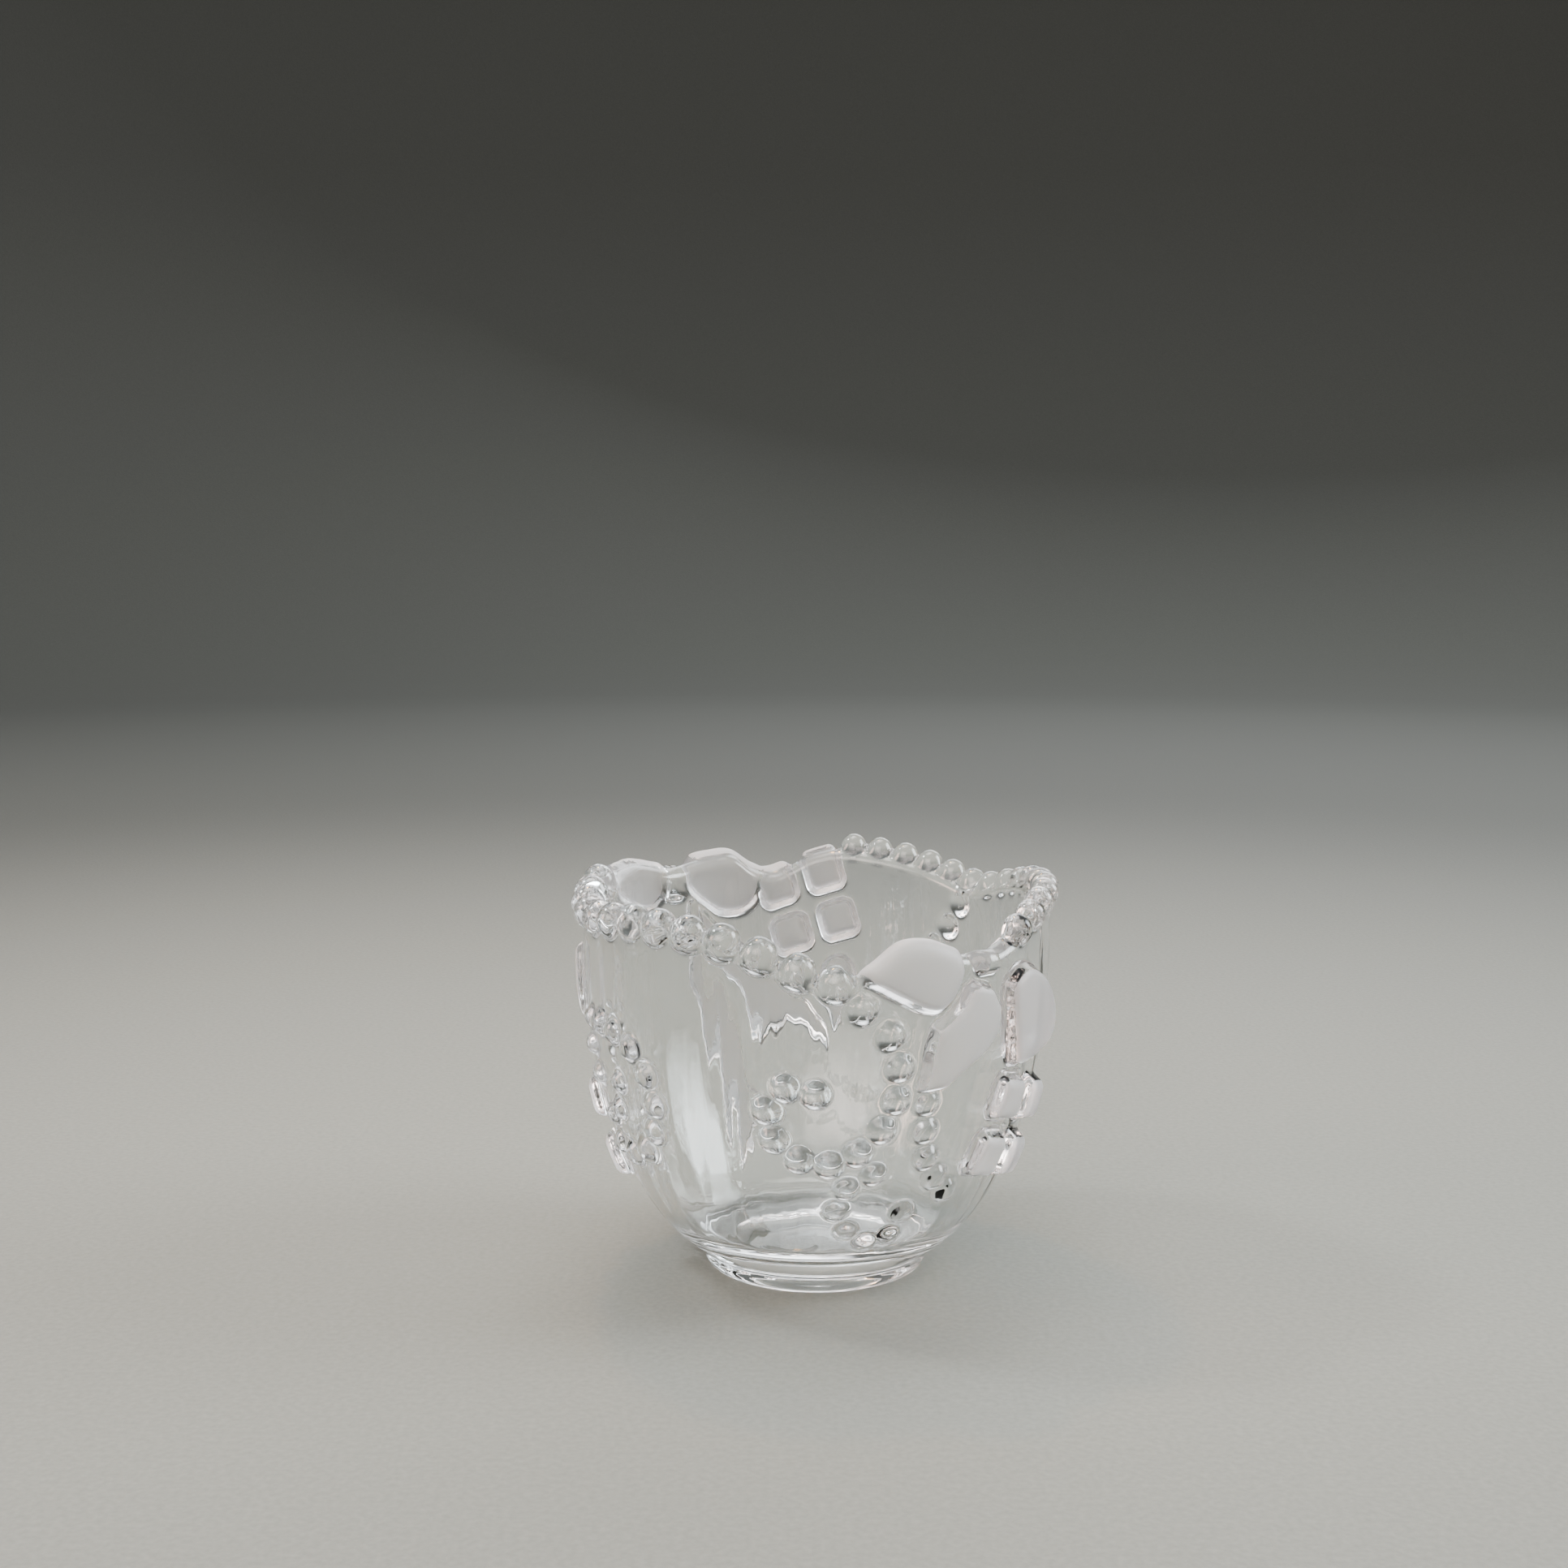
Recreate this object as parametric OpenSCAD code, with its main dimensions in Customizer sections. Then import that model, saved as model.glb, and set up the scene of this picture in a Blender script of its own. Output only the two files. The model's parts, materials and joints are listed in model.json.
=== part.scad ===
// Cup of clear pressed glass that holds one tealight. A thick-walled bowl on a low
// foot, with a wavy rim of beads and raised ornament on its outside: strings of clear
// beads, and two ribbon bows, three wrapped gift boxes, a leaf and a pendant, whose
// flats are satin frosted.
//
// The origin is the middle of the foot's underside, and +Z is up. Angles go round
// the axis in degrees, from the front (-Y) towards the right (+X), so a place on the
// wall is [angle, height].

/* [Bowl] */
// Outer radius of the wall above the shoulder
bowl_r = 41.2; // [40:0.1:43]
// Height at which the wall reaches that radius
shoulder_h = 60.8; // [58:0.2:62]
// Fullness of the outer curve, where 2 is an ellipse
fullness = 2.2; // [2:0.05:2.4]
// Radius that the outer curve would shrink to at the table
tuck_r = 8.5; // [7:0.5:10]
// Thickness of the wall at the rim
wall_t = 4.5; // [4:0.1:5]

/* [Tealight well] */
// Radius of the flat seat, for a tealight 39 mm across
seat_r = 19.5; // [19.5:0.1:20]
// Height of the seat above the table
seat_h = 8; // [7:0.1:9]

/* [Foot] */
// Height of the foot
foot_h = 4.6; // [4:0.1:5]
// Outer radius of the ring that rests on the table
rest_r = 18.8; // [18:0.1:19.2]
// Radius of the hollow under the foot
punt_r = 14.6; // [13:0.1:15.5]
// Depth of that hollow
punt_h = 1.6; // [1:0.1:2]

/* [Beads] */
// Diameter of the large rim beads
rim_bead_d = 6.1; // [5.6:0.05:6.15]
// Angle from one large rim bead to the next
rim_pitch = 8.8; // [8.8:0.1:9]
// Diameter of the small rim beads
fine_bead_d = 5.2; // [4.8:0.05:5.25]
// Angle from one small rim bead to the next
fine_pitch = 7.5; // [7.5:0.05:7.6]
// Distance of the rim beads' centres from the axis
rim_bead_r = 40.2; // [39.9:0.1:40.4]
// Diameter of the beads on the wall
bead_d = 4.7; // [4.2:0.05:4.8]

/* [Ornament] */
// How far the bows stand out from the wall
bow_h = 2.6; // [2:0.1:3]
// How far the ribbon tails, the leaf and the pendant stand out from the wall
tail_h = 1.8; // [1:0.1:2]
// How far the gift boxes stand out from the wall
gift_h = 2.8; // [2:0.1:3]
// Side of a gift box
gift_side = 17.6; // [16:0.2:18]
// Width of the sunk ribbon that crosses a gift box
ribbon_w = 2; // [1:0.1:2.4]

/* [Hidden] */

$fn = 64;
glass = [0.86, 0.92, 0.9, 0.45];
frosted = [0.9, 0.9, 0.9, 0.8];
curve_steps = 14;
wall_levels = 11;
wall_turns = 60;
edge_round = 0.8;
top_h = 72;
reach = 6;

// The wall's top edge in the valleys between beads, as [angle, height], in order
// round the cup. It dips beside the front bow and between the back bow and gift.
rim_line = [
    [-165, 63.5], [-158, 67.3], [-147, 67.5], [-134, 66.5], [-120, 68.5], [-107, 67.5],
    [-95, 66], [-68, 64.5], [-47, 66], [-25, 65], [-12, 62.5], [3.5, 58.5], [11, 61],
    [20, 65], [31, 63], [41, 61.6], [50, 62.6], [60, 65], [76, 67.5], [98, 67.5],
    [113, 65.5], [128, 63.5], [145, 66], [160, 67.8], [176, 68.2]
];
// A rim bead's centre above the wall's top edge
bead_lift = 0.6;
// The angle of the large rim bead at the front, and of the first small one
front_bead = 3.5;
fine_start = 131;
// How much of a wall bead's ball is cut off beyond its middle, as a share of its
// diameter, and how far its flat back is sunk below the wall, in mm
bead_cut = 0.1;
seat_gap = 0.03;
// How far the rounded corners of a knot and of a gift's panel reach from its middle,
// as shares of its longer side
knot_corner = 0.56;
panel_corner = 0.6;
// Width of a drop's outline before its taper, as a share of the drop's width
drop_taper = 0.65;

// Centres of the beads on the wall, as [angle, height]
scroll = [
    [9.5, 55], [16, 50.5], [18.5, 45], [18, 39.5], [15, 34.5], [9.5, 30.5],
    [2.5, 28.5], [-5, 29.5], [-11, 33], [-12.5, 38], [-8, 42], [-1, 41]
];
ring = [[14, 26.5], [7, 24], [4.5, 19.8], [8, 15.6], [14.5, 13], [21.8, 14], [24, 18.5]];
drop = [[26, 38.5], [26.5, 33.5], [28, 28.5], [32, 24.5], [37, 21.5]];
left_curl = [
    [-64.5, 47.5], [-57.5, 47], [-50.5, 45], [-45.5, 41], [-44, 36], [-46, 31],
    [-51, 27], [-58.5, 25], [-66, 26]
];
left_drop = [[-57.5, 38], [-60.5, 33], [-66, 31]];
left_fringe = [[-70.5, 47.5], [-72.5, 42.5], [-71, 37.5]];
back_curl = [[134.5, 59.5], [138.5, 54.8], [143.5, 50.5]];

// ---------- shape of the wall ----------

// One point of a quarter of a superellipse that runs from [r0, z0], level, up to
// [r1, z1], upright. t goes from 0 to 90 degrees.
function shell_point(t, r0, z0, r1, z1, n) = [
    r0 + (r1 - r0) * pow(sin(t), 2 / n),
    z1 - (z1 - z0) * pow(cos(t), 2 / n)
];
function outer_r(z) = z >= shoulder_h ? bowl_r
    : tuck_r + (bowl_r - tuck_r) * pow(1 - pow(1 - z / shoulder_h, fullness), 1 / fullness);
first_t = acos(pow(1 - foot_h / shoulder_h, fullness / 2));
outer_curve = [
    for (i = [0 : curve_steps])
        shell_point(first_t + (90 - first_t) * i / curve_steps,
                    tuck_r, 0, bowl_r, shoulder_h, fullness)
];
function inner_r(z) = z >= shoulder_h ? bowl_r - wall_t
    : seat_r + (bowl_r - wall_t - seat_r) * sqrt(1 - pow((shoulder_h - z) / (shoulder_h - seat_h), 2));

// The outer form, filled solid, grown outwards by h
module form(h = 0) {
    rotate_extrude()
        polygon(concat(
            [[0, foot_h]],
            [for (p = outer_curve) [p[0] + h, p[1]]],
            [[bowl_r + h, top_h], [0, top_h]]
        ));
}

// ---------- shape of the rim ----------

rim_n = len(rim_line);
function rim_at(i) = let (turns = floor(i / rim_n), p = rim_line[i - turns * rim_n])
    [p[0] + 360 * turns, p[1]];
function rim_slope(i) = let (a = rim_at(i - 1), b = rim_at(i + 1)) (b[1] - a[1]) / (b[0] - a[0]);
function from_first(a) = a - 360 * floor((a - rim_line[0][0]) / 360);
function rim_index(a) = max([for (i = [0 : rim_n - 1]) if (rim_line[i][0] <= a) i]);
// Height of the wall's top edge at any angle: a cubic through the points of rim_line
function rim_z(angle) =
    let (a = from_first(angle), i = rim_index(a), p = rim_at(i), q = rim_at(i + 1))
    let (w = q[0] - p[0], t = (a - p[0]) / w, u = 1 - t)
    u * u * (1 + 2 * t) * p[1] + t * t * (3 - 2 * t) * q[1]
    + t * u * w * (u * rim_slope(i) - t * rim_slope(i + 1));

// Slope of that edge in degrees, rising towards larger angles
function edge_slope(a) = atan2(rim_z(a + 1) - rim_z(a - 1), 2 * rim_bead_r * sin(1));

// Height of level k out of wall_levels, closer together near the foot
function level_z(k, low, high) = low + (high - low) * pow(k / wall_levels, 1.4);

// The wall is a ring of flats. This puts the middle of each inner flat, not its
// corners, on the inner curve, so that the flats stay clear of the floor's disc.
clear_flats = 1 / cos(180 / wall_turns);

// The wall's section at one angle, from the foot up the outside, over the rounded
// edge and down the inside to the seat
function wall_section(angle) =
    let (top = rim_z(angle), inside = (bowl_r - wall_t) * clear_flats)
    concat(
        [for (k = [0 : wall_levels]) let (z = level_z(k, foot_h, top - edge_round)) [outer_r(z), z]],
        [[outer_r(top) - edge_round, top], [inside + edge_round, top]],
        [for (k = [wall_levels : -1 : 0]) let (z = level_z(k, seat_h, top - edge_round))
            [inner_r(z) * clear_flats, z]],
        [[seat_r * clear_flats, foot_h]]
    );

// ---------- building blocks ----------

// Puts a feature on the wall: +X runs round the cup, +Y up and +Z out of the glass,
// tipped down by lean degrees
module at_wall(angle, z, lean = 0) {
    rotate([0, 0, angle])
        translate([0, -outer_r(z), z])
            rotate([90 + lean, 0, 0])
                children();
}

// How far the wall's outward direction points below level
function wall_lean(z) = atan2(outer_r(z + 0.1) - outer_r(z - 0.1), 0.2);

// Leaves only what stands out of the glass
module proud() {
    difference() {
        children();
        form();
    }
}

// A flat outline at a place on the wall, raised to an even height
module raised(angle, z, h) {
    proud()
        intersection() {
            at_wall(angle, z)
                translate([0, 0, -2 * reach])
                    linear_extrude(4 * reach)
                        children();
            form(h);
        }
}

// The same for an outline given as places on the wall, seen from [angle, z]
module raised_outline(angle, z, places, h) {
    raised(angle, z, h)
        polygon([for (p = places) [outer_r(p[1]) * sin(p[0] - angle), p[1] - z]]);
}

// A closed smooth curve through the points of a rounded outline
function smooth(points, steps = 4) = [
    for (i = [0 : len(points) - 1], k = [0 : steps - 1])
        let (n = len(points), t = k / steps)
        let (a = points[(i + n - 1) % n], b = points[i], c = points[(i + 1) % n], d = points[(i + 2) % n])
        b + t / 2 * (c - a + t * (2 * a - 5 * b + 4 * c - d + t * (3 * (b - c) + d - a)))
];

// A drop's outline: pointed at the +X end and full at the other
module drop_outline(l, w) {
    polygon([for (t = [0 : 10 : 350]) [l / 2 * cos(t), drop_taper * w * sin(t) * sin(t / 2)]]);
}

// A pointed oval: where two equal circles overlap
module almond(l, w) {
    r = (l * l + w * w) / (4 * w);
    intersection() {
        translate([0, r - w / 2]) circle(r, $fn = 128);
        translate([0, w / 2 - r]) circle(r, $fn = 128);
    }
}

// A round bead seated square to the wall, a little less than half a ball
module wall_beads(places, d = bead_d) {
    sink = bead_cut * d;
    for (p = places)
        at_wall(p[0], p[1], wall_lean(p[1]))
            translate([0, 0, -sink - seat_gap])
                intersection() {
                    sphere(d = d);
                    translate([-d / 2, -d / 2, sink]) cube(d);
                }
}

// A row of round beads that stand on the wall's edge and follow its slope
module rim_beads(first, pitch, count, d) {
    for (i = [0 : count - 1])
        let (angle = first + pitch * i)
            rotate([0, 0, angle])
                translate([0, -rim_bead_r, rim_z(angle)])
                    rotate([0, -edge_slope(angle), 0])
                        intersection() {
                            translate([0, 0, bead_lift]) sphere(d = d);
                            translate([-d / 2, -d / 2, 0]) cube(d);
                        }
}

// Four padded squares, parted by a sunk ribbon that crosses in the middle
module gift_box(angle, z, tilt) {
    panel = (gift_side - ribbon_w) / 2;
    step = (panel + ribbon_w) / 2;
    raised(angle, z, gift_h)
        rotate(tilt)
            for (x = [-step, step], y = [-step, step])
                translate([x, y])
                    intersection() {
                        square(panel, center = true);
                        circle(r = panel_corner * panel, $fn = 96);
                    }
}

// ---------- the pieces ----------

// The ring that the cup stands on, with the thick floor of the tealight's seat
module foot() color(glass) {
    punt_ball = (punt_r * punt_r + punt_h * punt_h) / (2 * punt_h);
    difference() {
        rotate_extrude()
            polygon([
                [0, 0], [rest_r, 0], [rest_r + 0.9, 0.8], [rest_r + 1.6, 2.6], [rest_r + 2, 3.6],
                [outer_r(foot_h), foot_h], [seat_r, foot_h], [seat_r, seat_h], [0, seat_h]
            ]);
        translate([0, 0, punt_h - punt_ball]) sphere(r = punt_ball, $fn = 256);
    }
}

// The wall and its wavy edge, open at the bottom where the foot's floor fills it
module bowl() color(glass) {
    sections = [for (i = [0 : wall_turns - 1]) wall_section(360 * i / wall_turns)];
    n = len(sections[0]);
    points = [
        for (i = [0 : wall_turns - 1], p = sections[i])
            let (a = 360 * i / wall_turns)
            [p[0] * sin(a), -p[0] * cos(a), p[1]]
    ];
    faces = [
        for (i = [0 : wall_turns - 1], k = [0 : n - 1])
            let (j = (i + 1) % wall_turns, m = (k + 1) % n)
            for (half = [[n * i + k, n * j + m, n * j + k], [n * i + k, n * i + m, n * j + m]])
                half
    ];
    polyhedron(points, faces, convexity = 4);
}

module front_rim_beads() color(glass)
    rim_beads(front_bead - 6 * rim_pitch, rim_pitch, 7, rim_bead_d);

module left_rim_beads() color(glass)
    rim_beads(front_bead - 12 * rim_pitch, rim_pitch, 6, rim_bead_d);

module back_rim_beads() color(glass)
    rim_beads(fine_start, fine_pitch, 6, fine_bead_d);

module right_rim_beads() color(glass)
    rim_beads(fine_start - 10 * fine_pitch, fine_pitch, 10, fine_bead_d);

module scroll_beads() color(glass) wall_beads(scroll);
module ring_beads() color(glass) wall_beads(ring, 0.85 * bead_d);
module drop_beads() color(glass) wall_beads(drop, 0.95 * bead_d);
module left_curl_beads() color(glass) wall_beads(left_curl);
module left_drop_beads() color(glass) wall_beads(left_drop, 0.85 * bead_d);
module left_fringe_beads() color(glass) wall_beads(left_fringe, 0.9 * bead_d);
module back_curl_beads() color(glass) wall_beads(back_curl);

module bow_knot(angle, z, w, h) {
    raised(angle, z, bow_h)
        intersection() {
            square([w, h], center = true);
            circle(r = knot_corner * max(w, h));
        }
}

module front_bow_knot() color(glass) bow_knot(41.3, 61, 5.2, 4.6);

module front_bow_left_loop() color(frosted)
    raised_outline(21, 59.5, smooth([
        [8.2, 60.4], [13, 63.5], [18.5, 65.4], [25.3, 65.2], [31.3, 63], [33.6, 60.6],
        [32.8, 58.2], [30.6, 55.4], [27.2, 53.7], [23, 54.2], [19, 55.7], [13.5, 57.9]
    ]), bow_h);

module front_bow_right_loop() color(frosted)
    raised_outline(60, 50.5, smooth([
        [47.6, 55.5], [50.5, 58], [55.5, 58.8], [62, 57], [69, 53.3], [74.5, 48.5],
        [74, 45], [70, 43], [61, 42], [53, 41.8], [50.3, 44], [48.6, 49.7]
    ]), bow_h);

module front_bow_tail() color(frosted)
    raised_outline(34, 49, [
        [32.6, 55], [35, 57.4], [37.5, 58], [42, 56.8], [45, 53.2], [44.8, 49.2], [41, 46],
        [35, 43.4], [29.8, 40.8], [23, 40.6], [24.2, 44.5], [25, 48.5], [26.2, 51.3], [29, 52.7]
    ], bow_h);

module back_bow_knot() color(glass) bow_knot(-138, 63, 5, 6);

module back_bow_left_loop() color(frosted)
    raised_outline(-153, 62, smooth([
        [-141.7, 62.8], [-143, 66], [-146.5, 67.9], [-152.8, 68.5], [-159.4, 68],
        [-163.8, 66], [-165.5, 62.5], [-164, 58.5], [-160, 56.2], [-154, 55.9],
        [-149, 57.7], [-144.5, 60.2]
    ]), bow_h);

module back_bow_right_loop() color(frosted)
    raised_outline(-121, 63, smooth([
        [-106.5, 66], [-112, 67.6], [-120, 68.3], [-128, 68], [-133.3, 66.6],
        [-134.3, 63.5], [-133, 60.8], [-126.8, 58.8], [-118.2, 60.6], [-110.5, 63.4]
    ]), bow_h);

module back_bow_long_tail() color(frosted)
    raised_outline(-150, 35, [
        [-142, 59.5], [-142, 47.5], [-145, 36], [-149.5, 22], [-151.5, 10], [-158, 15],
        [-164, 19.5], [-157.5, 27], [-151.5, 39], [-146.5, 45.5], [-145.4, 53], [-144.4, 59.5]
    ], tail_h);

module back_bow_forked_tail() color(frosted)
    raised_outline(-164, 43, [
        [-145.4, 59], [-151, 54.8], [-160, 49.5], [-168, 45], [-175.5, 40], [-180.5, 36],
        [-183, 31], [-182.5, 28.5], [-177, 33.5], [-172, 35], [-167, 33], [-163.7, 30],
        [-163, 34.5], [-159.5, 39.5], [-153.5, 43.2], [-148.5, 46.5], [-146.5, 52.5]
    ], tail_h);

module right_gift() color(frosted) gift_box(57.5, 30.5, -14);
module back_gift() color(frosted) gift_box(-178.5, 57.6, -17);
module left_gift() color(frosted) gift_box(-98, 24, 12);

module left_leaf() color(frosted)
    raised(-89, 51, tail_h) rotate(80) almond(15, 7);

module back_pendant() color(frosted)
    raised(172.4, 40, tail_h) rotate(-92) drop_outline(14.5, 7.5);

foot();
bowl();
front_rim_beads();
left_rim_beads();
back_rim_beads();
right_rim_beads();
scroll_beads();
ring_beads();
drop_beads();
left_curl_beads();
left_drop_beads();
left_fringe_beads();
back_curl_beads();
front_bow_knot();
front_bow_left_loop();
front_bow_right_loop();
front_bow_tail();
back_bow_knot();
back_bow_left_loop();
back_bow_right_loop();
back_bow_long_tail();
back_bow_forked_tail();
right_gift();
back_gift();
left_gift();
left_leaf();
back_pendant();
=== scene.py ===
"""A tealight holder of clear pressed glass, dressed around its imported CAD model.

The glass is worked out as one skin: a grid that runs up the outside of the wall, over
the wavy edge, down the inside and across to the seat. Beads, bows, ribbons and gift
boxes raise that skin by a height taken from the CAD solids, softened where they meet
the wall, as a fire-polished pressing is. Each CAD node's share of the skin is then cut
out as its own closed piece. Lengths are in millimetres until the meshes are made.
"""

import json
import math

import bpy
import numpy as np
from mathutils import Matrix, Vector


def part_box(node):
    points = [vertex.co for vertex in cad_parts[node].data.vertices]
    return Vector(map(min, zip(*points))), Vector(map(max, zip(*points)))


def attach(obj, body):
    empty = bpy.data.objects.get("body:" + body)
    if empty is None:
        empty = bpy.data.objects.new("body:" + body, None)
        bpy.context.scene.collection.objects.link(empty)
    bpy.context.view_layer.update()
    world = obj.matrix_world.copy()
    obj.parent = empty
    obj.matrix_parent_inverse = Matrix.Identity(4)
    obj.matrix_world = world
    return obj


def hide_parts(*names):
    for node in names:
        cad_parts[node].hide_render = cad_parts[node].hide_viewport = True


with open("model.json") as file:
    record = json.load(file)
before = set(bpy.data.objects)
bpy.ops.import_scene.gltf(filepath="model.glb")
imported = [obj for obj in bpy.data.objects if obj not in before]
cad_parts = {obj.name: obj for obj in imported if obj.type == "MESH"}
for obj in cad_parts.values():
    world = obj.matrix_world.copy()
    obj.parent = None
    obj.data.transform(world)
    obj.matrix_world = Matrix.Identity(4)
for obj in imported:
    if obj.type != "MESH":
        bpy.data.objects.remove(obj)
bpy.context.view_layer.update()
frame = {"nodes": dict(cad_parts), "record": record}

MM = 0.001

SLOT_OF = {p["node"]: p["material_slot"] for p in frame["record"]["subparts"]}

# ---------- the CAD's driving sizes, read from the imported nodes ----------


def node_points(node):
    """The corners of a CAD node's mesh, in mm."""
    mesh = frame["nodes"][node].data
    points = np.empty(len(mesh.vertices) * 3)
    mesh.vertices.foreach_get("co", points)
    return points.reshape(-1, 3) / MM


def node_triangles(node):
    """Corner numbers of a CAD node's triangles."""
    mesh = frame["nodes"][node].data
    mesh.calc_loop_triangles()
    corners = np.empty(len(mesh.loop_triangles) * 3, np.int64)
    mesh.loop_triangles.foreach_get("vertices", corners)
    return corners.reshape(-1, 3)


def polar(points):
    """Radius, angle from the front (-Y) towards +X, and height."""
    radius = np.hypot(points[..., 0], points[..., 1])
    angle = np.arctan2(points[..., 0], -points[..., 1])
    return radius, angle, points[..., 2]


def on_turn(radius, angle, z):
    """The points at those radii, angles and heights."""
    return np.stack([radius * np.sin(angle), -radius * np.cos(angle), z], -1)


wall = node_points("bowl")
wall_radius, wall_angle, wall_z = polar(wall)
foot_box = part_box("foot")
BOWL_R = wall_radius.max()
FOOT_H = wall_z.min()
SEAT_H = foot_box[1].z / MM
SEAT_R = wall_radius.min()
# The rest of the wall's curve and of the foot, as the CAD model has them
SHOULDER_H = 60.8  # where the wall reaches its full radius
FULLNESS = 2.2  # of the outer curve, where 2 is an ellipse
TUCK_R = 8.5  # radius that the outer curve would shrink to at the table
WALL_T = 4.5
REST_R = 18.8  # outer radius of the ring that rests on the table
PUNT_R = 14.6  # the hollow under the foot
PUNT_H = 1.6

# ---------- the grid ----------

TURNS = 960  # columns round the cup
OUT_ROWS = 256  # cells up the outside, over the edge and down the inside
EDGE_ROWS = 24
IN_ROWS = 216
ROWS = OUT_ROWS + EDGE_ROWS + IN_ROWS
EDGE_ROUND = 2.0  # height of the rounding of the wall's edge
PROFILE_SAMPLES = 4000  # heights at which a profile's length is measured


def outer_r(z):
    """Outer radius of the wall, which tucks in below the shoulder."""
    share = np.clip(1 - z / SHOULDER_H, 0, 1)
    return TUCK_R + (BOWL_R - TUCK_R) * (1 - share**FULLNESS) ** (1 / FULLNESS)


def inner_r(z):
    """Inner radius of the wall: a quarter ellipse down to the seat."""
    share = np.clip((SHOULDER_H - z) / (SHOULDER_H - SEAT_H), 0, 1)
    return SEAT_R + (BOWL_R - WALL_T - SEAT_R) * np.sqrt(1 - share**2)


def even_heights(radius_at, low, tops, shares):
    """Heights that divide each profile from low to its top evenly along its length."""
    span = tops.max() - low
    z = low + span * np.linspace(0, 1, PROFILE_SAMPLES) ** 2
    steps = np.hypot(np.diff(z), np.diff(radius_at(z)))
    run = np.concatenate([[0], np.cumsum(steps)])
    length = np.interp(tops, z, run)
    return np.interp(length[:, None] * shares[None, :], run, z)


def through(p0, p1, p2, p3, t):
    """The smooth curve from p1 to p2 that heads on from p0 and on to p3."""
    return p1 + 0.5 * t * (
        p2 - p0 + t * (2 * p0 - 5 * p1 + 4 * p2 - p3 + t * (3 * (p1 - p2) + p3 - p0))
    )


def rim_heights():
    """Height of the wall's top edge at each column, smooth between the CAD's points."""
    keys = np.round(np.degrees(wall_angle), 1)
    angles = np.unique(keys)
    tops = np.array([wall_z[keys == a].max() for a in angles])
    count = len(angles)
    at = (np.degrees(column_angle) - angles[0]) / (360 / count)
    k = np.floor(at).astype(int)
    t = at - k
    return through(*(tops[(k + s) % count] for s in (-1, 0, 1, 2)), t)


column_angle = 2 * math.pi * np.arange(TURNS) / TURNS
top = rim_heights()
turn_z = top - EDGE_ROUND

out_z = even_heights(outer_r, FOOT_H, turn_z, np.arange(OUT_ROWS) / OUT_ROWS)
out_radius = outer_r(out_z)
lean = math.pi * np.arange(EDGE_ROWS) / EDGE_ROWS
edge_out, edge_in = outer_r(turn_z)[:, None], inner_r(turn_z)[:, None]
edge_z = turn_z[:, None] + EDGE_ROUND * np.sin(lean)
edge_radius = (edge_out + edge_in) / 2 + (edge_out - edge_in) / 2 * np.cos(lean)
in_z = even_heights(inner_r, SEAT_H, turn_z, np.linspace(1, 0, IN_ROWS + 1))
in_radius = inner_r(in_z)

# The plunger leaves faint upright waves in the inside of the wall. Each is its height
# in mm, how many go round the cup, where it starts and how it leans.
WAVES = ((0.06, 7, 0.4, 1), (0.05, 17, 2, -2), (0.03, 31, 4, 3), (0.014, 67, 1, -4))
WAVE_LEAN = 0.03  # turn of a wave for each mm up, in radians, times how it leans
WAVE_MID = 30  # the height at which a wave is where it starts
FADE_FOOT = 12  # how far above the seat and below the edge the waves reach full size
FADE_EDGE = 6
turn = column_angle[:, None]
wave = sum(
    size * np.sin(count * turn + phase + WAVE_LEAN * drift * (in_z - WAVE_MID))
    for size, count, phase, drift in WAVES
)
fade = np.clip((in_z - SEAT_H) / FADE_FOOT, 0, 1)
fade = fade * np.clip((turn_z[:, None] - in_z) / FADE_EDGE, 0, 1)
in_radius = in_radius + wave * fade

base_radius = np.concatenate([out_radius, edge_radius, in_radius], 1)
base_z = np.concatenate([out_z, edge_z, in_z], 1)
base = on_turn(base_radius, column_angle[:, None], base_z)


def normals_of(grid):
    """Unit normals of a grid that closes round the axis."""
    across = np.roll(grid, -1, 0) - np.roll(grid, 1, 0)
    along = np.gradient(grid, axis=1)
    normal = np.cross(across, along)
    return normal / np.maximum(np.linalg.norm(normal, axis=-1, keepdims=True), 1e-9)


base_normal = normals_of(base)
outward = np.stack([np.sin(column_angle), -np.cos(column_angle)], -1)[:, None, :]
facing_out = (base_normal[..., :2] * outward).sum(-1)

# ---------- relief: how far each feature stands out of the skin ----------


def islands(points, triangles):
    """The triangles of each closed solid in a node's mesh."""
    keys = {}
    same = np.array([keys.setdefault(tuple(p), len(keys)) for p in np.round(points, 3)])
    group = np.arange(len(keys))
    corners = same[triangles]
    while True:
        low = group[corners].min(1)
        new = group.copy()
        for side in range(3):
            np.minimum.at(new, corners[:, side], low)
        if (new == group).all():
            break
        group = new
    owner = group[corners[:, 0]]
    return same, [triangles[owner == g] for g in np.unique(owner)]


def ball_height(points, spread):
    """Height of the skin's points under a ball fitted to the corners of a bead. The
    melt spreads the ball, which sinks to keep its crown at the same height."""
    system = np.column_stack([2 * points, np.ones(len(points))])
    fit = np.linalg.lstsq(system, (points**2).sum(1), rcond=None)[0]
    centre, radius = fit[:3], math.sqrt(fit[3] + fit[:3] @ fit[:3])
    out = points.mean(0) - centre
    centre = centre - out / np.linalg.norm(out) * radius * (spread - 1)
    radius *= spread
    away = base - centre
    beyond = (away**2).sum(-1) - radius**2
    height = np.zeros((TURNS, ROWS + 1))
    under = beyond < 0
    slide = (away[under] * base_normal[under]).sum(-1)
    height[under] = -slide + np.sqrt(slide**2 - beyond[under])
    return height


ON_WALL = 0.25  # a solid's back lies within this of the wall's curve
UPRIGHT = 1.4  # a pad keeps its full height while the skin faces out by 1 / UPRIGHT


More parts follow.
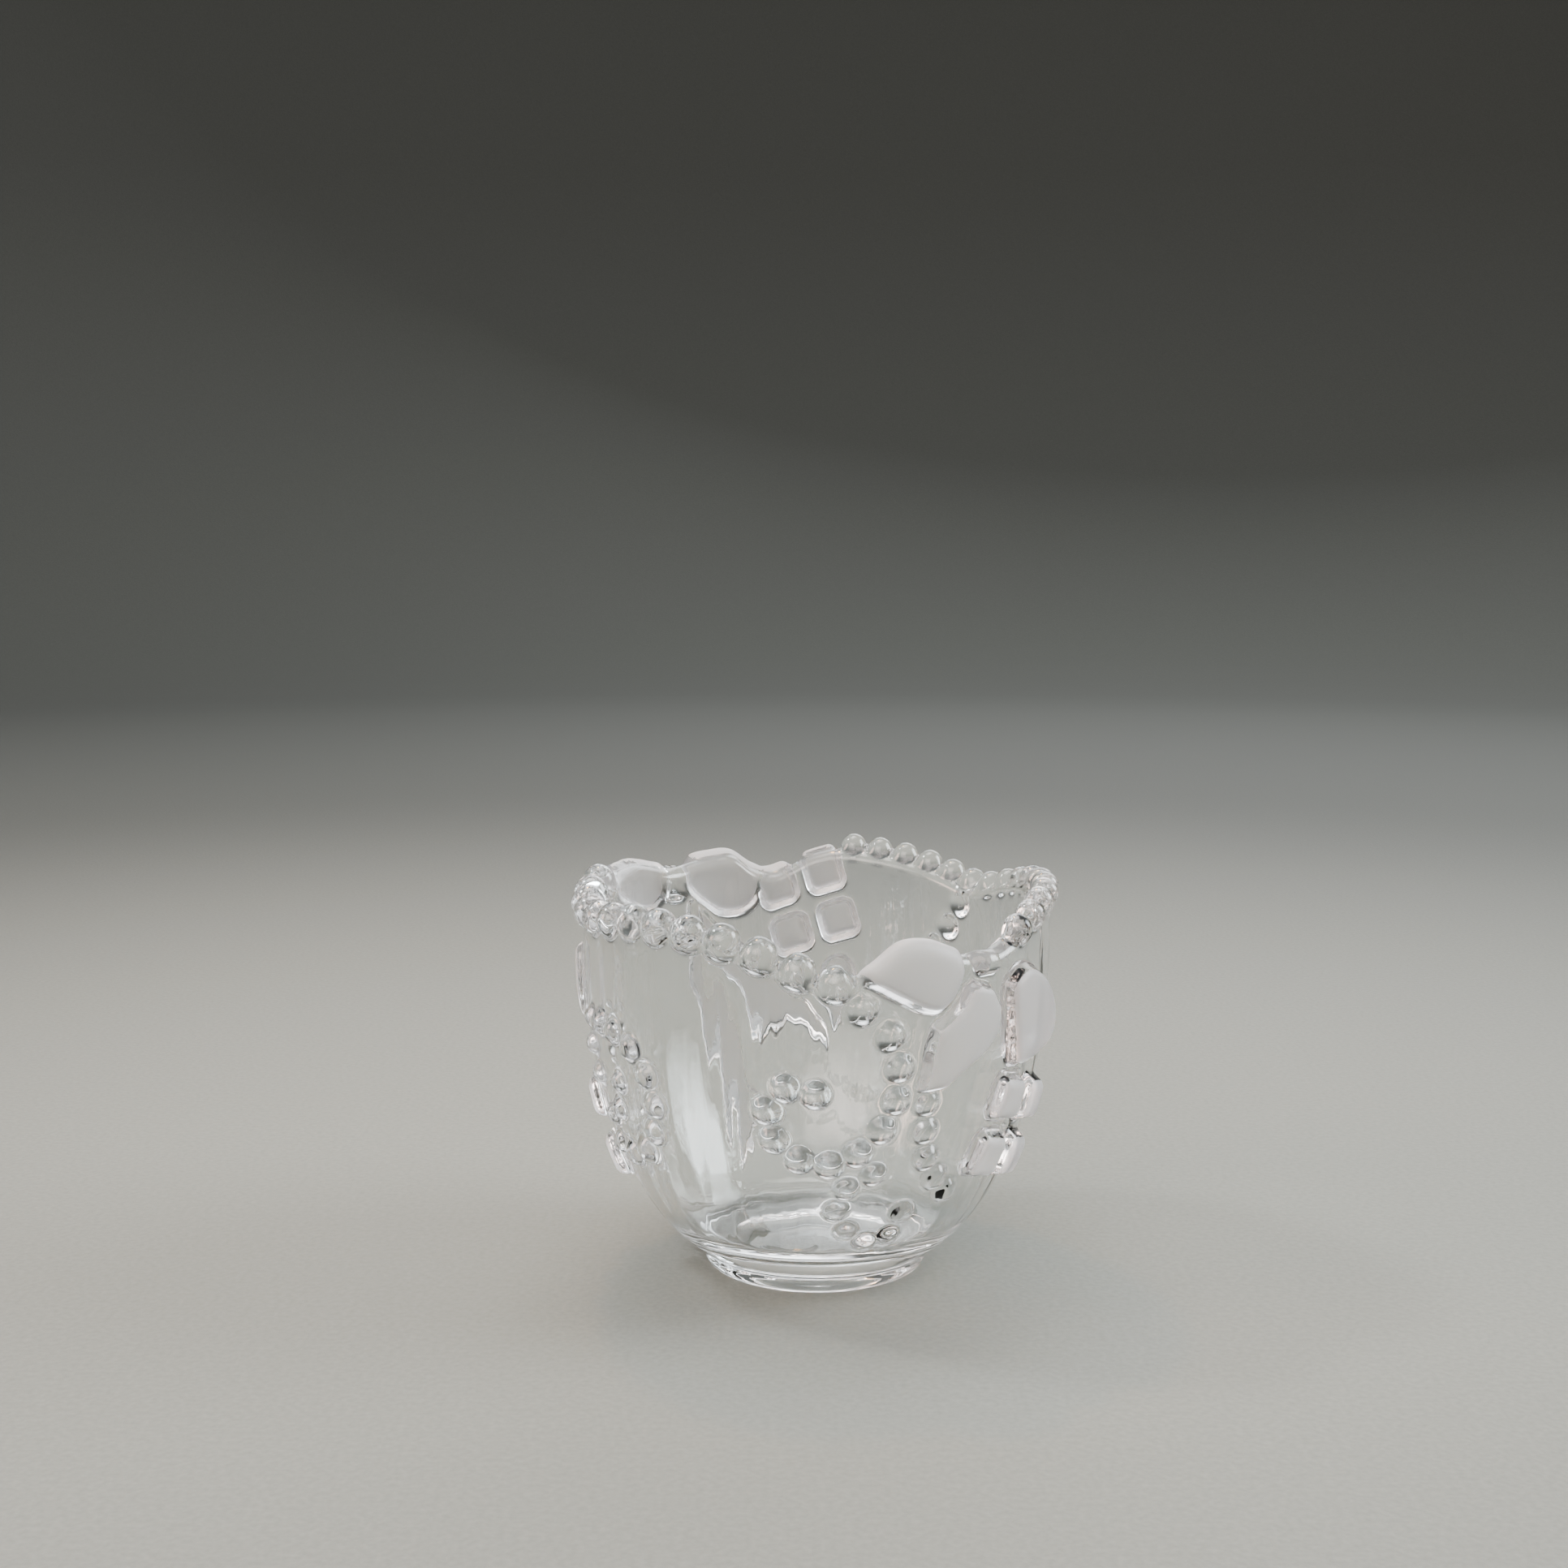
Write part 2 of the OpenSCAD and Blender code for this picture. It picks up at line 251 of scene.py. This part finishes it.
def outline_of(points, same, triangles):
    """The edges of a raised solid's back, where it sits on the wall."""
    radius, _, z = polar(points)
    on_wall = np.abs(radius - outer_r(z)) < ON_WALL
    back = triangles[on_wall[triangles].all(1)]
    edges = np.sort(same[back[:, [0, 1, 1, 2, 2, 0]].reshape(-1, 2)], 1)
    found, count = np.unique(edges, axis=0, return_counts=True)
    place = np.zeros((same.max() + 1, 3))
    place[same] = points
    lines = place[found[count == 1]]
    return lines[np.linalg.norm(lines[:, 1] - lines[:, 0], axis=1) > 1e-4]


def pad_height(lines, height, width):
    """Height of a padded shape inside an outline, and how far in each point lies. It
    rises steeply over width, then swells gently towards the middle."""
    _, angle, z = polar(lines)
    middle = math.atan2(np.sin(angle).sum(), np.cos(angle).sum())
    angle = (angle - middle + math.pi) % (2 * math.pi) - math.pi
    here = (column_angle - middle + math.pi) % (2 * math.pi) - math.pi
    columns = np.flatnonzero((here > angle.min() - 0.03) & (here < angle.max() + 0.03))
    x = np.repeat(here[columns, None], OUT_ROWS + EDGE_ROWS // 2, 1)
    y = base_z[columns, : OUT_ROWS + EDGE_ROWS // 2]
    inside = np.zeros(x.shape, bool)
    for (x0, x1), (y0, y1) in zip(angle, z):
        spans = (y0 > y) != (y1 > y)
        cut = x0 + (y - y0) / (y1 - y0 + 1e-12) * (x1 - x0)
        inside ^= spans & (x < cut)
    where = np.argwhere(inside)
    result, depth = np.zeros((2, TURNS, ROWS + 1))
    if not len(where):
        return result, depth
    rows, points = where[:, 1], base[columns[where[:, 0]], where[:, 1]]
    nearest = np.full(len(points), 1e9)
    for start, end in lines:
        along = end - start
        share = np.clip(((points - start) @ along) / (along @ along), 0, 1)
        gap = points - start - share[:, None] * along
        nearest = np.minimum(nearest, (gap**2).sum(1))
    nearest = np.sqrt(nearest)
    edge = 1 - (1 - np.clip(nearest / width, 0, 1)) ** 2
    swell = 1 - (1 - np.clip(nearest / PAD_SWELL, 0, 1)) ** 2
    shape = (1 - PAD_CROWN) * np.sqrt(edge) + PAD_CROWN * np.sqrt(swell)
    faces = np.clip(facing_out[columns[where[:, 0]], rows] * UPRIGHT, 0, 1)
    result[columns[where[:, 0]], rows] = height * shape * faces
    depth[columns[where[:, 0]], rows] = nearest
    return result, depth


def soften(height):
    """Rounds edges and fills corners, as fire polishing does."""
    for _ in range(2):
        for axis in (0, 1):
            if axis:
                padded = np.pad(height, ((0, 0), (2, 2)), mode="edge")
                parts = [padded[:, s : s + ROWS + 1] for s in range(5)]
            else:
                parts = [np.roll(height, s - 2, 0) for s in range(5)]
            height = sum(w * p for w, p in zip((1, 4, 6, 4, 1), parts)) / 16
    return height


# Height and rounding width of the padded features, by the word in the node's name
PADS = {
    "knot": (2.5, 1.7),
    "loop": (2.7, 1.5),
    "front_bow_tail": (2.6, 1.3),
    "tail": (1.7, 1.0),
    "gift": (2.85, 1.9),
    "leaf": (1.7, 1.2),
    "pendant": (1.7, 1.0),
}

BEAD_SPREAD = 1.1  # size of a bead on the wall against its CAD dome
RIM_SPREAD = 1.03  # the same for a bead on the rim
PAD_CROWN = 0.32  # share of a pad's height that swells over PAD_SWELL, in mm
PAD_SWELL = 5.0
FROST_DEPTH = 1.3  # a frosted flat is fully in by this far from its outline, in mm

FEATURES = [n for n in frame["nodes"] if n not in ("foot", "bowl")]
relief, frost = np.zeros((2, TURNS, ROWS + 1))
owner = np.zeros((TURNS, ROWS + 1), int)
for number, name in enumerate(FEATURES, 1):
    points, triangles = node_points(name), node_triangles(name)
    same, solids = islands(points, triangles)
    raised = np.zeros((TURNS, ROWS + 1))
    for solid in solids:
        if name.endswith("beads"):
            spread = RIM_SPREAD if "rim" in name else BEAD_SPREAD
            part = ball_height(points[np.unique(solid)], spread)
        else:
            height, width = next(v for k, v in PADS.items() if k in name)
            part, depth = pad_height(outline_of(points, same, solid), height, width)
            if SLOT_OF[name] == "frosted_glass":
                frost = np.maximum(frost, np.clip(depth / FROST_DEPTH, 0, 1))
        raised = np.maximum(raised, part)
    higher = raised > relief
    owner[higher] = number
    relief[higher] = raised[higher]

relief = soften(relief)
skin = base + base_normal * relief[..., None]
skin_normal = normals_of(skin)

# ---------- which node owns each cell of the skin ----------

FILLET = 0.12  # skin lower than this belongs to the bowl
FILLET_REACH = 5  # columns and rows that softening may have spread a feature over
for _ in range(FILLET_REACH):
    for shift, axis in ((1, 0), (-1, 0), (1, 1), (-1, 1)):
        spread = np.roll(owner, shift, axis)
        owner = np.where(owner == 0, spread, owner)


def corners_of(values):
    """The four corner values of each cell."""
    over = np.roll(values, -1, 0)
    return np.stack([values[:, :-1], over[:, :-1], over[:, 1:], values[:, 1:]])


cell_owner = corners_of(owner)[corners_of(relief).argmax(0), *np.indices((TURNS, ROWS))]
cell = np.where(corners_of(relief).max(0) > FILLET, cell_owner, 0)
cell[:, 0] = 0
for _ in range(3):  # cells that touch only at a corner go back to the bowl
    over, up = np.roll(cell, -1, 0)[:, :-1], cell[:, 1:]
    across = np.roll(cell, -1, 0)[:, 1:]
    here = cell[:, :-1]
    pinch = (here == across) & (here != over) & (here != up) & (here > 0)
    pinch |= (over == up) & (over != here) & (over != across) & (over > 0)
    i, j = np.nonzero(pinch)
    for di, dj in ((0, 0), (1, 0), (0, 1), (1, 1)):
        cell[(i + di) % TURNS, j + dj] = 0

# ---------- large cells where the skin is smooth, small ones where it isn't ----------

BEND = 0.01  # how far, in mm, the skin may bend away from a large cell's patch


def smooth_blocks(size):
    """Blocks of size x size cells with one owner that a flat patch could stand for."""
    blocks = cell.reshape(TURNS // size, size, ROWS // size, size).transpose(0, 2, 1, 3)
    whole = (blocks == blocks[:, :, :1, :1]).all((2, 3))
    wide = np.concatenate([skin, skin[:1]], 0)
    low = wide[:-1:size, :-1:size]
    over, up = wide[size::size, :-1:size], wide[:-1:size, size::size]
    far = wide[size::size, size::size]
    bend = np.zeros(whole.shape)
    for a in range(size + 1):
        for b in range(size + 1):
            s, t = a / size, b / size
            flat = (1 - s) * (1 - t) * low + s * (1 - t) * over + (1 - s) * t * up + s * t * far
            part = wide[a : TURNS - size + a + 1 : size, b : ROWS - size + b + 1 : size]
            bend = np.maximum(bend, np.linalg.norm(part - flat, axis=-1))
    return whole & (bend < BEND)


leaves = []  # (first column, first row, size)
free = np.ones((TURNS, ROWS), bool)
for size in (4, 2):
    fits = smooth_blocks(size)
    fits &= free.reshape(TURNS // size, size, ROWS // size, size).all((1, 3))
    for a, b in np.argwhere(fits):
        leaves.append((a * size, b * size, size))
        free[a * size : (a + 1) * size, b * size : (b + 1) * size] = False
leaves += [(a, b, 1) for a, b in np.argwhere(free)]
used = np.zeros((TURNS, ROWS + 1), bool)
for a, b, size in leaves:
    used[[a, (a + size) % TURNS, a, (a + size) % TURNS], [b, b, b + size, b + size]] = True


def ring_of(a, b, size):
    """The used corners round a leaf, anticlockwise seen from outside."""
    if size == 1:
        a1 = (a + 1) % TURNS
        return [(a, b), (a1, b), (a1, b + 1), (a, b + 1)]
    steps = range(size)
    ring = [(a + s, b) for s in steps] + [(a + size, b + s) for s in steps]
    ring += [(a + size - s, b + size) for s in steps] + [(a, b + size - s) for s in steps]
    ring = [(i % TURNS, j) for i, j in ring]
    return [p for p in ring if used[p]]


rings = {}
for a, b, size in leaves:
    rings.setdefault(int(cell[a, b]), []).append(ring_of(a, b, size))

# ---------- materials ----------


def link(tree, source, target):
    tree.links.new(source, target)


def glass_material(name, finish=None):
    """Clear glass with fire-polished waves and faint smears. finish may be "scuffed",
    for a foot that has stood on tables, or "frosted", for satin flats."""
    material = bpy.data.materials.new(name)
    material.use_nodes = True
    tree = material.node_tree
    shader = tree.nodes["Principled BSDF"]
    shader.inputs["Transmission Weight"].default_value = 1.0
    shader.inputs["IOR"].default_value = 1.5
    place = tree.nodes.new("ShaderNodeTexCoord")

    def noise(scale, detail):
        node = tree.nodes.new("ShaderNodeTexNoise")
        node.inputs["Scale"].default_value = scale
        node.inputs["Detail"].default_value = detail
        link(tree, place.outputs["Object"], node.inputs["Vector"])
        return node.outputs["Fac"]

    def ranged(value, from_min, from_max, to_min, to_max):
        node = tree.nodes.new("ShaderNodeMapRange")
        limits = {"From Min": from_min, "From Max": from_max, "To Min": to_min, "To Max": to_max}
        for socket, number in limits.items():
            node.inputs[socket].default_value = number
        link(tree, value, node.inputs["Value"])
        return node.outputs["Result"]

    def math_of(operation, first, second):
        node = tree.nodes.new("ShaderNodeMath")
        node.operation = operation
        link(tree, first, node.inputs[0])
        link(tree, second, node.inputs[1])
        return node.outputs["Value"]

    tint = tree.nodes.new("ShaderNodeValToRGB")
    tint.color_ramp.elements[0].position = 0.3
    tint.color_ramp.elements[1].position = 0.7
    shades = ((0.9, 0.87, 0.865), (0.95, 0.93, 0.925)) if finish == "frosted" else (
        (0.965, 0.985, 0.98), (0.99, 0.995, 0.995))
    for element, shade in zip(tint.color_ramp.elements, shades):
        element.color = (*shade, 1)
    link(tree, noise(25, 2), tint.inputs["Fac"])
    link(tree, tint.outputs["Color"], shader.inputs["Base Color"])

    rough = ranged(noise(90, 5), 0.5, 0.8, 0.0, 0.04)
    if finish == "scuffed":
        split = tree.nodes.new("ShaderNodeSeparateXYZ")
        link(tree, place.outputs["Object"], split.inputs["Vector"])
        worn = ranged(split.outputs["Z"], 0.0005, 0.0, 0.0, 0.22)
        rough = math_of("MAXIMUM", rough, math_of("MULTIPLY", worn, noise(1500, 6)))
    if finish == "frosted":
        frosting = tree.nodes.new("ShaderNodeAttribute")
        frosting.attribute_name = "frost"
        ragged = math_of("ADD", frosting.outputs["Fac"], ranged(noise(900, 3), 0, 1, -0.15, 0.15))
        rough = math_of("MAXIMUM", rough, ranged(ragged, 0.5, 0.62, 0.0, 0.5))
        clear = ranged(ragged, 0.5, 0.62, 1.0, 0.72)
        link(tree, clear, shader.inputs["Transmission Weight"])
    link(tree, rough, shader.inputs["Roughness"])

    bump = tree.nodes.new("ShaderNodeBump")
    bump.inputs["Strength"].default_value = 0.2
    bump.inputs["Distance"].default_value = 0.0001
    link(tree, noise(260, 2), bump.inputs["Height"])
    link(tree, bump.outputs["Normal"], shader.inputs["Normal"])
    return material


def joint_material():
    """Nothing to see: it covers faces buried where two pieces of the pour meet."""
    material = bpy.data.materials.new("buried joint")
    material.use_nodes = True
    tree = material.node_tree
    tree.nodes.remove(tree.nodes["Principled BSDF"])
    clear = tree.nodes.new("ShaderNodeBsdfTransparent")
    link(tree, clear.outputs["BSDF"], tree.nodes["Material Output"].inputs["Surface"])
    return material


glass = glass_material("clear glass")
foot_glass = glass_material("scuffed glass", "scuffed")
frosted_glass = glass_material("frosted glass", "frosted")
buried = joint_material()

# ---------- pieces ----------


def make_piece(name, node, corners, faces, hidden, material):
    """One closed piece of the glass, which stands for one CAD node."""
    points, normals = np.array(corners.points), np.array(corners.normals)
    mesh = bpy.data.meshes.new(name)
    mesh.from_pydata((points * MM).tolist(), [], faces)
    mesh.materials.append(material)
    mesh.materials.append(buried)
    mesh.polygons.foreach_set("material_index", np.array(hidden, np.int32))
    mesh.polygons.foreach_set("use_smooth", np.ones(len(faces), bool))
    mesh.update()
    mesh.normals_split_custom_set_from_vertices(normals.tolist())
    frosting = mesh.attributes.new("frost", "FLOAT", "POINT")
    frosting.data.foreach_set("value", np.array(corners.frost, np.float32))
    piece = bpy.data.objects.new(name, mesh)
    bpy.context.scene.collection.objects.link(piece)
    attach(piece, "root")
    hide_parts(node)


SINK = 0.05  # how far a piece's buried back lies under the skin it grew from


class Corners:
    """Numbers the corners that a piece uses and keeps their places and normals."""

    def __init__(self):
        self.number, self.points, self.normals, self.frost = {}, [], [], []

    def add(self, key, point, normal, frosted=0.0):
        if key not in self.number:
            self.number[key] = len(self.points)
            self.points.append(point)
            self.normals.append(normal)
            self.frost.append(frosted)
        return self.number[key]


def feature_piece(number, name):
    """A feature's share of the skin, with buried sides and back."""
    corners, faces, hidden, edges = Corners(), [], [], {}

    def on_top(p):
        return corners.add((p, 0), skin[p], skin_normal[p], frost[p])

    def on_back(p):
        return corners.add((p, 1), base[p] - SINK * base_normal[p], -base_normal[p])

    for ring in rings.get(number, []):
        faces.append([on_top(p) for p in ring])
        faces.append([on_back(p) for p in reversed(ring)])
        hidden += [0, 1]
        for p, q in zip(ring, ring[1:] + ring[:1]):
            if not edges.pop((q, p), False):
                edges[(p, q)] = True
    for p, q in edges:
        faces.append([on_top(q), on_top(p), on_back(p), on_back(q)])
        hidden.append(1)
    material = frosted_glass if SLOT_OF[name] == "frosted_glass" else glass
    make_piece(name + "_glass", name, corners, faces, hidden, material)


# The bowl's first row touches the foot, so both use the columns that row uses
foot_columns = np.flatnonzero(used[:, 0])


def bowl_piece():
    """The plain wall, the skin buried under each feature, and the joint with the foot."""
    corners, faces, hidden = Corners(), [], []
    plain = np.zeros((TURNS, ROWS + 1), bool)
    bare = cell == 0
    for di, dj in ((0, 0), (1, 0), (0, 1), (1, 1)):
        plain[:, dj : ROWS + dj] |= np.roll(bare, di, 0)

    def corner(p):
        if plain[p]:
            return corners.add(p, skin[p], skin_normal[p])
        return corners.add(p, base[p], base_normal[p])

    for number, group in rings.items():
        for ring in group:
            faces.append([corner(p) for p in ring])
            hidden.append(1 if number else 0)
    # The wall's foot: from the end of the inside, down the floor's edge, out to the skin
    inner = [int(i) for i in np.flatnonzero(used[:, ROWS])]
    outer = [int(i) for i in foot_columns]
    sill = [
        corners.add(("sill", i), on_turn(SEAT_R, column_angle[i], FOOT_H), np.array([0, 0, -1.0]))
        for i in inner
    ]
    low_in = [corner((i, ROWS)) for i in inner]
    for k in range(len(inner)):
        m = (k + 1) % len(inner)
        faces.append([low_in[k], low_in[m], sill[m], sill[k]])
        hidden.append(1)

    def columns_within(columns, first, span):
        """Those columns at most span after first, in order round the cup."""
        def after(n):
            return (n - first) % TURNS

        return sorted((n for n in columns if after(n) <= span), key=after)

    # Outer and inner rings may differ in count, so a fan strip joins them
    sill_at = dict(zip(inner, sill))
    common = [i for i in outer if i in sill_at]
    for k, i in enumerate(common):
        j = common[(k + 1) % len(common)]
        span = (j - i) % TURNS or TURNS
        across = [corner((n, 0)) for n in columns_within(outer, i, span)]
        along = [sill_at[n] for n in columns_within(inner, i, span)]
        faces.append(along + across[::-1])
        hidden.append(1)
    make_piece("bowl_glass", "bowl", corners, faces, hidden, glass)


def curve_through(points, steps):
    """A smooth profile through given points."""
    points = np.array(points, float)
    ends = np.vstack([2 * points[0] - points[1], points, 2 * points[-1] - points[-2]])
    result = [
        tuple(through(*ends[k : k + 4], t))
        for k in range(len(points) - 1)
        for t in np.arange(steps) / steps
    ]
    return result + [tuple(points[-1])]


def foot_piece():
    """The ring that the cup stands on, its punt and the thick floor above it."""
    punt_ball = (PUNT_R**2 + PUNT_H**2) / (2 * PUNT_H)
    punt = [
        (r, math.sqrt(punt_ball**2 - r * r) - punt_ball + PUNT_H)
        for r in np.linspace(0, PUNT_R - 0.5, 20)
    ]
    ring = [punt[-1], (PUNT_R, 0.03), (PUNT_R + 1, 0), (REST_R - 0.7, 0)]
    ring += [
        (REST_R + out, up)
        for out, up in (
            (0.2, 0.12), (0.8, 0.6), (1.2, 1.4), (1.5, 2.4), (1.75, 3.2), (2.3, 3.85)
        )
    ]
    ring.append((out_radius[0, 0], FOOT_H))
    profile = punt[:-1] + curve_through(ring, 6)
    joint = [(SEAT_R, FOOT_H), (SEAT_R, SEAT_H)]
    floor = [(r, SEAT_H) for r in np.linspace(SEAT_R, 0, 12)]
    path = profile + joint + floor[1:]
    buried_here = [0] * (len(profile) - 1) + [1, 1] + [0] * (len(floor) - 1)
    tangent = np.gradient(np.array(path), axis=0)
    tangent[len(profile) - 1] = np.array(profile[-1]) - np.array(profile[-2])
    seat_start = len(profile) + 1
    tangent[seat_start:] = (-1, 0)
    tangent[0] = (1, 0)
    tangent /= np.maximum(np.linalg.norm(tangent, axis=1, keepdims=True), 1e-9)
    corners, faces, hidden = Corners(), [], []

    def corner(k, m):
        turn = column_angle[foot_columns[m % len(foot_columns)]]
        (radius, z), (along, up) = path[k], tangent[k]
        key = (k, m % len(foot_columns)) if radius > 0 else k
        return corners.add(key, on_turn(radius, turn, z), on_turn(up, turn, -along))

    for k in range(len(path) - 1):
        for m in range(len(foot_columns)):
            low = [corner(k, m), corner(k, m + 1)]
            high = [corner(k + 1, m + 1), corner(k + 1, m)]
            faces.append(list(dict.fromkeys(low + high)))
            hidden.append(buried_here[k])
    make_piece("foot_glass", "foot", corners, faces, hidden, foot_glass)


bowl_piece()
foot_piece()
for number, name in enumerate(FEATURES, 1):
    feature_piece(number, name)

# ---------- floor and backdrop ----------

STAGE_R = 1.3  # radius of the flat floor, in metres
SWEEP_R = 0.5  # radius of its sweep up into the wall
WALL_TOP = 1.0
STAGE_TURNS = 128
# Painted shade: the floor's colour is painted darker away from the cup, a painted pool of light
# round it
PALE_R = 0.05  # the floor darkens from here
DARK_R = 0.7  # to here
PAINTED_SHADE_SHARE = 0.35  # and keeps this share of its colour


def cloth_material():
    """A matt pale floor with a fine grain, and painted shade that darkens it away from the cup,
    so a painted pool of light lies round the cup.
    """
    material = bpy.data.materials.new("floor with painted shade")
    material.use_nodes = True
    tree = material.node_tree
    shader = tree.nodes["Principled BSDF"]
    shader.inputs["Roughness"].default_value = 0.85
    place = tree.nodes.new("ShaderNodeTexCoord")
    grain = tree.nodes.new("ShaderNodeTexNoise")
    grain.inputs["Scale"].default_value = 900
    grain.inputs["Detail"].default_value = 4
    link(tree, place.outputs["Object"], grain.inputs["Vector"])
    tone = tree.nodes.new("ShaderNodeValToRGB")
    tone.color_ramp.elements[0].color = (0.17, 0.175, 0.155, 1)
    tone.color_ramp.elements[1].color = (0.24, 0.245, 0.22, 1)
    link(tree, grain.outputs["Fac"], tone.inputs["Fac"])
    away = tree.nodes.new("ShaderNodeVectorMath")
    away.operation = "LENGTH"
    link(tree, place.outputs["Object"], away.inputs[0])
    # painted shade: the floor's colour is scaled down with distance from the cup
    fade = tree.nodes.new("ShaderNodeMapRange")
    fade.interpolation_type = "SMOOTHSTEP"
    fade.inputs["From Min"].default_value = PALE_R
    fade.inputs["From Max"].default_value = DARK_R
    fade.inputs["To Min"].default_value = 1.0
    fade.inputs["To Max"].default_value = PAINTED_SHADE_SHARE
    link(tree, away.outputs["Value"], fade.inputs["Value"])
    shade = tree.nodes.new("ShaderNodeVectorMath")
    shade.operation = "SCALE"
    link(tree, tone.outputs["Color"], shade.inputs[0])
    link(tree, fade.outputs["Result"], shade.inputs["Scale"])
    link(tree, shade.outputs["Vector"], shader.inputs["Base Color"])
    bump = tree.nodes.new("ShaderNodeBump")
    bump.inputs["Strength"].default_value = 0.3
    bump.inputs["Distance"].default_value = 0.0003
    link(tree, grain.outputs["Fac"], bump.inputs["Height"])
    link(tree, bump.outputs["Normal"], shader.inputs["Normal"])
    return material


def make_stage():
    """A round floor that sweeps up into a low wall all the way round."""
    bend = np.linspace(0, math.pi / 2, 17)
    side = [(STAGE_R + SWEEP_R * math.sin(t), SWEEP_R * (1 - math.cos(t))) for t in bend]
    side.append((STAGE_R + SWEEP_R, WALL_TOP))
    turn = np.arange(STAGE_TURNS) * 2 * math.pi / STAGE_TURNS
    points = [(r * math.cos(t), r * math.sin(t), z) for r, z in side for t in turn]
    faces = [tuple(range(STAGE_TURNS))]
    for row in range(len(side) - 1):
        for k in range(STAGE_TURNS):
            here, ahead = row * STAGE_TURNS + k, row * STAGE_TURNS + (k + 1) % STAGE_TURNS
            faces.append((here, here + STAGE_TURNS, ahead + STAGE_TURNS, ahead))
    mesh = bpy.data.meshes.new("floor")
    mesh.from_pydata(points, [], faces)
    mesh.polygons.foreach_set("use_smooth", np.ones(len(faces), bool))
    mesh.materials.append(cloth_material())
    floor = bpy.data.objects.new("floor", mesh)
    bpy.context.scene.collection.objects.link(floor)


make_stage()

# ---------- light ----------


def lamp(name, place, aim, size, power, colour):
    """A soft rectangular lamp that faces aim and fades towards its edges."""
    data = bpy.data.lights.new(name, "AREA")
    data.shape = "RECTANGLE"
    data.size, data.size_y = size
    data.energy = power
    data.color = colour
    data.use_nodes = True
    tree = data.node_tree
    across = tree.nodes.new("ShaderNodeNewGeometry").outputs["Parametric"]
    rest = tree.nodes.new("ShaderNodeVectorMath")
    rest.operation = "SUBTRACT"
    rest.inputs[0].default_value = (1, 1, 1)
    link(tree, across, rest.inputs[1])
    dome = tree.nodes.new("ShaderNodeVectorMath")
    dome.operation = "MULTIPLY"
    link(tree, across, dome.inputs[0])
    link(tree, rest.outputs["Vector"], dome.inputs[1])
    sides = tree.nodes.new("ShaderNodeSeparateXYZ")
    link(tree, dome.outputs["Vector"], sides.inputs["Vector"])
    both = tree.nodes.new("ShaderNodeMath")
    both.operation = "MULTIPLY"
    link(tree, sides.outputs["X"], both.inputs[0])
    link(tree, sides.outputs["Y"], both.inputs[1])
    scale = tree.nodes.new("ShaderNodeMath")
    scale.operation = "MULTIPLY"
    scale.inputs[1].default_value = 36  # makes the mean of u(1-u)v(1-v) one
    link(tree, both.outputs["Value"], scale.inputs[0])
    link(tree, scale.outputs["Value"], tree.nodes["Emission"].inputs["Strength"])
    lamp_object = bpy.data.objects.new(name, data)
    lamp_object.location = place
    lamp_object.rotation_euler = (Vector(aim) - Vector(place)).to_track_quat("-Z", "Y").to_euler()
    lamp_object.visible_camera = False
    bpy.context.scene.collection.objects.link(lamp_object)


CUP = (0, 0, 0.035)
lamp("window", (1.1, 0.1, 0.6), CUP, (0.8, 0.9), 17, (0.9, 0.95, 1.0))
lamp("overhead", (-0.1, 0.2, 1.3), CUP, (1.1, 0.8), 9, (1.0, 0.97, 0.96))
lamp("front fill", (-0.5, -1.3, 0.9), CUP, (1.8, 1.2), 17, (1.0, 0.88, 0.84))
lamp("left fill", (-1.1, -0.3, 0.5), CUP, (0.6, 0.6), 6, (1.0, 0.74, 0.64))
lamp("back fill", (0.35, 1.3, 0.8), CUP, (1.6, 1.1), 9, (0.95, 0.97, 1.0))
lamp("small window", (-0.45, 0.1, 0.6), CUP, (0.12, 0.12), 1.8, (0.95, 0.97, 1.0))
lamp("warm spot", (-0.1, 0.25, 0.6), CUP, (0.05, 0.05), 0.8, (1.0, 0.5, 0.15))

# The room is dark at the horizon and bright above, which draws the glass's edges
world = bpy.data.worlds.new("studio")
bpy.context.scene.world = world
world.use_nodes = True
tree = world.node_tree
direction = tree.nodes.new("ShaderNodeTexCoord")
height = tree.nodes.new("ShaderNodeSeparateXYZ")
ramp = tree.nodes.new("ShaderNodeValToRGB")
ramp.color_ramp.elements[0].position = 0.1
ramp.color_ramp.elements[1].position = 0.7
ramp.color_ramp.elements[0].color = (0.11, 0.12, 0.12, 1)
ramp.color_ramp.elements[1].color = (0.8, 0.86, 0.9, 1)
link(tree, direction.outputs["Generated"], height.inputs["Vector"])
link(tree, height.outputs["Z"], ramp.inputs["Fac"])
link(tree, ramp.outputs["Color"], tree.nodes["Background"].inputs["Color"])
bpy.context.scene.view_settings.look = "AgX - Medium High Contrast"

# ---------- camera ----------

camera_data = bpy.data.cameras.new("camera")
camera_data.sensor_width = 36
camera_data.lens = 46.6
camera_data.clip_start = 0.01
camera = bpy.data.objects.new("camera", camera_data)
camera.location = (-0.0057, -0.3553, 0.1291)
camera.rotation_euler = (math.radians(83.09), 0, 0)
bpy.context.scene.collection.objects.link(camera)
bpy.context.scene.camera = camera

cycles = bpy.context.scene.cycles
cycles.max_bounces = 32
cycles.transmission_bounces = 28
cycles.glossy_bounces = 12
cycles.transparent_max_bounces = 48
